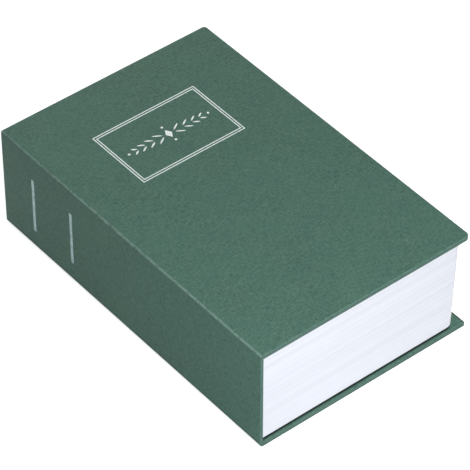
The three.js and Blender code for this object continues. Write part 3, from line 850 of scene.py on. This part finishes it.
class BOOKSAFE_OT_spine_foil(Operator):
    """Stamps the two bars across the spine"""

    bl_idname = "booksafe.spine_foil"
    bl_label = "Spine Foil"

    def execute(self, context):
        thick = context.scene.book_safe_sizes.foil_thickness
        corner = 0.2 * MM
        bars = []
        # Each bar's two edges above the tail, then its two ends above the table, in millimetres
        for y0, y1, z0, z1 in ((156.4, 158.3, 10.4, 40.5), (129.0, 130.8, 10.9, 40.3)):
            low = (SPINE_FACE - thick, y0 * MM - HEAD_FACE, z0 * MM)
            high = (SPINE_FACE, y1 * MM - HEAD_FACE, z1 * MM)
            bar = add_block("spine_bar", low, high)
            round_edges(bar, lambda a, b: not close_to(a.x, b.x), corner, segments=2)
            bars.append(bar)
        foil = join(bars, "spine_foil")
        colour = context.scene.book_safe_colours.rubbed_foil
        settle(foil, "book_base", None, material=stamped_foil("rubbed_silver_foil", colour, wear=0.75))
        return {"FINISHED"}


# Page block and cash box


def page_ripple(height):
    """How far the page edges sit back at a height, both in millimetres: a shallow, uneven ripple."""
    slow = math.sin(2.1 * height + 0.4) * math.cos(0.83 * height + 1.1)
    return 0.075 * (1 + slow) + 0.025 * (1 + math.sin(8.3 * height))


class BOOKSAFE_OT_page_block(Operator):
    """Models the moulded page block: layered edges, a drawn-in foot and the opening for the lid"""

    bl_idname = "booksafe.page_block"
    bl_label = "Page Block"

    def execute(self, context):
        sizes = context.scene.book_safe_sizes
        side_gap = 0.4 * MM
        top_gap = 0.02 * MM
        hollow_corner = 2.6 * MM
        pin_gap = 1.2 * MM
        lid_gap = 0.5 * MM
        mouth_corner = 3 * MM
        block = self.leaves(sizes)
        hollow_out(
            block, "page_hollow", (BOX_LOW.x - side_gap, BOX_LOW.y - side_gap, PAGES_LOW.z - MM),
            (BOX_HIGH.x + side_gap, BOX_HIGH.y + side_gap, BOX_HIGH.z + top_gap),
            hollow_corner, segments=6,
        )
        hollow_out(
            block, "page_mouth",
            (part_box("hinge_pin")[0].x - pin_gap, LID_LOW.y - lid_gap, BOX_HIGH.z - MM),
            (LID_HIGH.x + lid_gap, LID_HIGH.y + lid_gap, PAGES_HIGH.z + MM), mouth_corner,
        )
        break_edges(block, width=0.25 * MM, segments=2)
        smooth(block)
        settle(block, "book_base", "page_plastic", "page_block")
        return {"FINISHED"}

    @staticmethod
    def leaves(sizes):
        """The solid block, raised layer by layer from its foot, each layer with its own set-back."""
        low, high = PAGES_LOW, PAGES_HIGH
        width = high.x - low.x
        span = high.y - low.y
        centre = ((low.x + high.x) / 2, 0, low.z)
        foot_height = 1.0 * MM
        foot_ripple = 1.2 * MM
        spine_corner = 0.9 * MM

        def set_back(now, wanted, z):
            """Scales the selected face about the spine. now and wanted are the ripple and the lean."""
            bpy.ops.transform.resize(
                value=((width - sum(wanted)) / (width - sum(now)),
                       (span - 2 * wanted[0]) / (span - 2 * now[0]), 1),
                center_override=(low.x, 0, z),
            )

        block = add_primitive(
            "page_leaves", bpy.ops.mesh.primitive_plane_add, size=1, location=centre,
        )
        edit(
            block, "FACE", anything, bpy.ops.transform.resize,
            value=(width, span, 1), center_override=centre,
        )
        for fore, radius, segments in ((True, sizes.page_corner, 10), (False, spine_corner, 4)):
            edit(
                block, "VERT", lambda point: (point.x > 0) == fore, bpy.ops.mesh.bevel,
                offset=radius, segments=segments, affect="VERTICES",
            )
        pick(block, "FACE", anything)
        state = (foot_ripple, sizes.page_draft)
        set_back((0, 0), state, low.z)
        bpy.ops.mesh.extrude_region_move(TRANSFORM_OT_translate={"value": (0, 0, foot_height)})
        z = low.z + foot_height
        layer = (high.z - z) / sizes.page_layers
        for index in range(sizes.page_layers):
            bpy.ops.mesh.extrude_region_move(TRANSFORM_OT_translate={"value": (0, 0, layer)})
            z += layer
            lean = sizes.page_draft * (high.z - z) / (high.z - low.z)
            wanted = (page_ripple(z / MM) * MM, lean)
            set_back(state, wanted, z)
            state = wanted
        bpy.ops.mesh.select_all(action="SELECT")
        bpy.ops.mesh.normals_make_consistent(inside=False)
        bpy.ops.object.mode_set(mode="OBJECT")
        return block


class BOOKSAFE_OT_cash_box(Operator):
    """Models the folded steel box with its inward rim"""

    bl_idname = "booksafe.cash_box"
    bl_label = "Cash Box"

    def execute(self, context):
        wall = 0.8 * MM
        rim = 8 * MM
        hinge_rim = 16 * MM
        corner = 3 * MM
        mouth_corner = 5 * MM
        inset = Vector((wall, wall, wall))
        box = add_block("steel_cash_box", BOX_LOW, BOX_HIGH)
        round_edges(box, upright, corner, segments=8)
        hollow_out(box, "box_room", BOX_LOW + inset, BOX_HIGH - inset, corner - wall)
        hollow_out(
            box, "box_mouth", (BOX_LOW.x + hinge_rim, BOX_LOW.y + rim, BOX_HIGH.z - 2 * wall),
            (BOX_HIGH.x - rim, BOX_HIGH.y - rim, BOX_HIGH.z + wall), mouth_corner,
        )
        break_edges(box, width=0.25 * MM, segments=3)
        smooth_bends(box)
        settle(box, "book_base", "box_enamel", "cash_box")
        return {"FINISHED"}


class BOOKSAFE_OT_lid(Operator):
    """Models the steel lid, its edges hemmed under on three sides and pierced for the lock"""

    bl_idname = "booksafe.lid"
    bl_label = "Lid"

    def execute(self, context):
        sheet = 0.8 * MM
        hem = 6 * MM
        fore_corner = 3 * MM
        hinge_corner = 1 * MM
        hole_radius = 6.25 * MM
        flat_from_middle = 5.25 * MM
        lid = add_block("steel_lid", LID_LOW, LID_HIGH)
        round_edges(lid, lambda a, b: min(a.x, b.x) > 0 and upright(a, b), fore_corner, segments=8)
        round_edges(lid, lambda a, b: max(a.x, b.x) < 0 and upright(a, b), hinge_corner, segments=4)
        pocket = add_block(
            "lid_pocket", (LID_LOW.x - MM, LID_LOW.y + hem, LID_LOW.z - MM),
            (LID_HIGH.x - hem, LID_HIGH.y - hem, LID_HIGH.z - sheet),
        )
        cut_with(lid, pocket)
        lock = (LOCK_LOW + LOCK_HIGH) / 2
        hole = add_primitive(
            "lid_hole", bpy.ops.mesh.primitive_cylinder_add, vertices=64, radius=hole_radius,
            depth=6 * MM, location=(lock.x, lock.y, LID_HIGH.z),
        )
        for side in (-1, 1):
            edit(
                hole, "FACE", anything, bpy.ops.mesh.bisect, clear_outer=True, use_fill=True,
                plane_co=(lock.x + side * flat_from_middle, lock.y, 0), plane_no=(side, 0, 0),
            )
        cut_with(lid, hole)
        break_edges(lid, width=0.22 * MM, segments=3)
        smooth_bends(lid)
        settle(lid, "lid", "box_enamel", "lid_panel")
        return {"FINISHED"}


class BOOKSAFE_OT_lid_hinge(Operator):
    """Breaks the edges of the hinge's two leaves and its pin, and dents the leaves with spot welds"""

    bl_idname = "booksafe.lid_hinge"
    bl_label = "Lid Hinge"

    def execute(self, context):
        for node, name, body, shown_side in (
            ("box_hinge_leaf", "rolled_leaf_on_box", "book_base", 1),
            ("lid_hinge_leaf", "rolled_leaf_on_lid", "lid", -1),
            ("hinge_pin", "steel_hinge_pin", "book_base", 0),
        ):
            piece = softened(node, name, 0.08 * MM)
            in_mark = self.dent(piece, shown_side) if shown_side else None
            settle(piece, body, "zinc_steel", node)
            if in_mark:
                piece.data.materials.append(finish_of("weld_mark"))
                for face in piece.data.polygons:
                    face.material_index = int(in_mark(face.center))
        return {"FINISHED"}

    @staticmethod
    def dent(leaf, shown_side):
        """Presses a row of round weld marks into the side of a leaf that shows when the lid is open.
        Gives back the test for the centre of a face in one."""
        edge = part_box("box_hinge_leaf")[1].x
        levels = [vertex.co.z for vertex in leaf.data.vertices if vertex.co.x > edge - MM]
        shown = max(levels) if shown_side > 0 else min(levels)
        from_edge = 3.7 * MM
        pitch = 21.3 * MM
        floor_radius = 1.45 * MM
        cutter_radius = 2.35 * MM
        cutter_height = 0.3 * MM
        mark_depth = 0.1 * MM
        mark_radius = 1.7 * MM
        count = 7
        centre = shown + shown_side * (cutter_height / 2 - mark_depth)
        places = [Vector((edge - from_edge, (index - count // 2) * pitch)) for index in range(count)]
        marks = [
            add_primitive(
                "weld_mark", bpy.ops.mesh.primitive_cone_add,
                vertices=32, radius1=floor_radius, radius2=cutter_radius, depth=cutter_height,
                location=(*place, centre), rotation=(0, 0 if shown_side > 0 else math.pi, 0),
            )
            for place in places
        ]
        cut_with(leaf, join(marks, "weld_marks"))
        smooth_bends(leaf)

        def in_mark(face_centre):
            sunk = (shown - face_centre.z) * shown_side
            away = min((face_centre.xy - place).length for place in places)
            return 0.2 * mark_depth < sunk < 1.5 * mark_depth and away < mark_radius

        return in_mark


class BOOKSAFE_OT_lock(Operator):
    """Breaks the edges of the lock's body, nut and washer, and of all that turns in it"""

    bl_idname = "booksafe.lock"
    bl_label = "Lock"

    def execute(self, context):
        for node, name, body, slot in (
            ("lock_body", "plated_lock_body", "lid", "lock_nickel"),
            ("lock_nut", "plated_lock_nut", "lid", "lock_nickel"),
            ("lock_washer", "toothed_washer", "lid", "zinc_steel"),
            ("lock_plug", "turned_lock_plug", "lock_cam", "plug_brass"),
            ("stop_washer", "pressed_stop_washer", "lock_cam", "zinc_steel"),
            ("lock_cam", "pressed_cam", "lock_cam", "zinc_steel"),
            ("cam_screw", "cheese_head_screw", "lock_cam", "zinc_steel"),
            ("lock_strike", "folded_strike", "book_base", "zinc_steel"),
        ):
            settle(softened(node, name, 0.1 * MM), body, slot, node)
        return {"FINISHED"}


# Stage


def set_up(data, place, direction):
    """Puts a lamp or a camera at a place, facing in a direction."""
    made = bpy.data.objects.new(data.name, data)
    made.location = place
    made.rotation_euler = Vector(direction).to_track_quat("-Z", "Y").to_euler()
    bpy.context.scene.collection.objects.link(made)
    return made


class BOOKSAFE_OT_stage(Operator):
    """Sets up the pale floor, the soft lamps, the white surroundings and the camera"""

    bl_idname = "booksafe.stage"
    bl_label = "Stage"

    def execute(self, context):
        scene = context.scene
        scene.view_settings.view_transform = "Standard"
        under_book = (0, 0, -0.05 * MM)
        floor = add_primitive(
            "studio_floor", bpy.ops.mesh.primitive_plane_add, size=30, location=under_book,
        )
        floor.data.materials.append(self.floor_finish())
        self.surroundings(scene)

        # Each lamp's place and side in metres, its power in watts and its colour
        aim = Vector((0, 0, 0.02))
        for name, place, size, power, colour in (
            ("key_softbox", (-0.15, -0.3, 0.45), 0.3, 0.84, "FFFFFF"),
            ("low_fill", (-0.2, -0.6, 0.2), 0.4, 1.6, "E4F0FF"),
            ("head_fill", (0.2, 0.7, 0.12), 0.4, 0.9, "FFFFFF"),
        ):
            lamp = bpy.data.lights.new(name, "AREA")
            lamp.size = size
            lamp.energy = power
            lamp.color = linear(colour)[:3]
            set_up(lamp, place, aim - Vector(place))

        # The camera that was fitted to the book's edges in the photograph
        camera = bpy.data.cameras.new("photo_camera")
        camera.sensor_width = 36
        camera.lens = 242.5
        camera.clip_start = 0.1
        camera.clip_end = 100
        scene.camera = set_up(camera, (-0.6374, -0.7851, 0.9706), (0.4607, 0.5657, -0.6839))
        return {"FINISHED"}

    @staticmethod
    def seen(add):
        """1 for what the camera sees directly or in a reflection, 0 for the light that falls on things."""
        path = add("ShaderNodeLightPath")
        first = add("ShaderNodeMath", {
            0: path.outputs["Is Camera Ray"], 1: path.outputs["Is Glossy Ray"],
        }, operation="MAXIMUM")
        return add("ShaderNodeMath", {
            0: first, 1: path.outputs["Is Transmission Ray"],
        }, operation="MAXIMUM")

    def floor_finish(self):
        """Painted board floor, matt and pale, lifted to white where no shadow falls on it."""
        material, add, _ = new_material("matt_white_floor")
        matt = add("ShaderNodeBsdfDiffuse", {"Color": linear("F2F2F2")})
        lift = add("ShaderNodeMath", {0: self.seen(add), 1: 0.75}, operation="MULTIPLY")
        glow = add("ShaderNodeEmission", {"Color": (1, 1, 1, 1), "Strength": lift})
        return finished(material, "ShaderNodeAddShader", {0: matt, 1: glow})

    def surroundings(self, scene):
        """White all round to the eye, and a dimmer light on the object, dimmest from the spine's side."""
        world = bpy.data.worlds.new("white_surroundings")
        scene.world = world
        world.use_nodes = True
        world.node_tree.nodes.clear()
        add = partial(add_node, world.node_tree)
        towards = add("ShaderNodeSeparateXYZ", {"Vector": add("ShaderNodeTexCoord").outputs["Generated"]})
        fall = add("ShaderNodeMapRange", {
            "Value": towards.outputs["X"], "From Min": -0.3, "From Max": 0.6, "To Max": 0.8,
        })
        strength = add("ShaderNodeMapRange", {"Value": self.seen(add), "To Min": fall})
        light = add("ShaderNodeBackground", {"Color": (1, 1, 1, 1), "Strength": strength})
        add("ShaderNodeOutputWorld", {"Surface": light})


class BOOKSAFE_PT_pieces(Panel):
    """Lists the operators, and the sizes and colours that they read"""

    bl_idname = "BOOKSAFE_PT_pieces"
    bl_label = "Book Safe"
    bl_space_type = "VIEW_3D"
    bl_region_type = "UI"
    bl_category = "Book Safe"

    def draw(self, context):
        for group in (context.scene.book_safe_sizes, context.scene.book_safe_colours):
            column = self.layout.column(align=True)
            for name in group.__annotations__:
                column.prop(group, name)
        for operator in OPERATORS:
            self.layout.operator(operator.bl_idname)


OPERATORS = (
    BOOKSAFE_OT_boards,
    BOOKSAFE_OT_case_paper,
    BOOKSAFE_OT_front_cover_paper,
    BOOKSAFE_OT_hinge_paper,
    BOOKSAFE_OT_endpaper,
    BOOKSAFE_OT_title_foil,
    BOOKSAFE_OT_spine_foil,
    BOOKSAFE_OT_page_block,
    BOOKSAFE_OT_cash_box,
    BOOKSAFE_OT_lid,
    BOOKSAFE_OT_lid_hinge,
    BOOKSAFE_OT_lock,
    BOOKSAFE_OT_stage,
)
CLASSES = (BookSafeSizes, BookSafeColours, *OPERATORS, BOOKSAFE_PT_pieces)


def register():
    for item in CLASSES:
        bpy.utils.register_class(item)
    bpy.types.Scene.book_safe_sizes = PointerProperty(type=BookSafeSizes)
    bpy.types.Scene.book_safe_colours = PointerProperty(type=BookSafeColours)


def unregister():
    del bpy.types.Scene.book_safe_colours
    del bpy.types.Scene.book_safe_sizes
    for item in reversed(CLASSES):
        bpy.utils.unregister_class(item)


def main():
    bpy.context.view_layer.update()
    register()
    bpy.ops.booksafe.boards()
    bpy.ops.booksafe.case_paper()
    bpy.ops.booksafe.front_cover_paper()
    bpy.ops.booksafe.hinge_paper()
    bpy.ops.booksafe.endpaper()
    bpy.ops.booksafe.title_foil()
    bpy.ops.booksafe.spine_foil()
    bpy.ops.booksafe.page_block()
    bpy.ops.booksafe.cash_box()
    bpy.ops.booksafe.lid()
    bpy.ops.booksafe.lid_hinge()
    bpy.ops.booksafe.lock()
    bpy.ops.booksafe.stage()


if __name__ == "__main__":
    main()
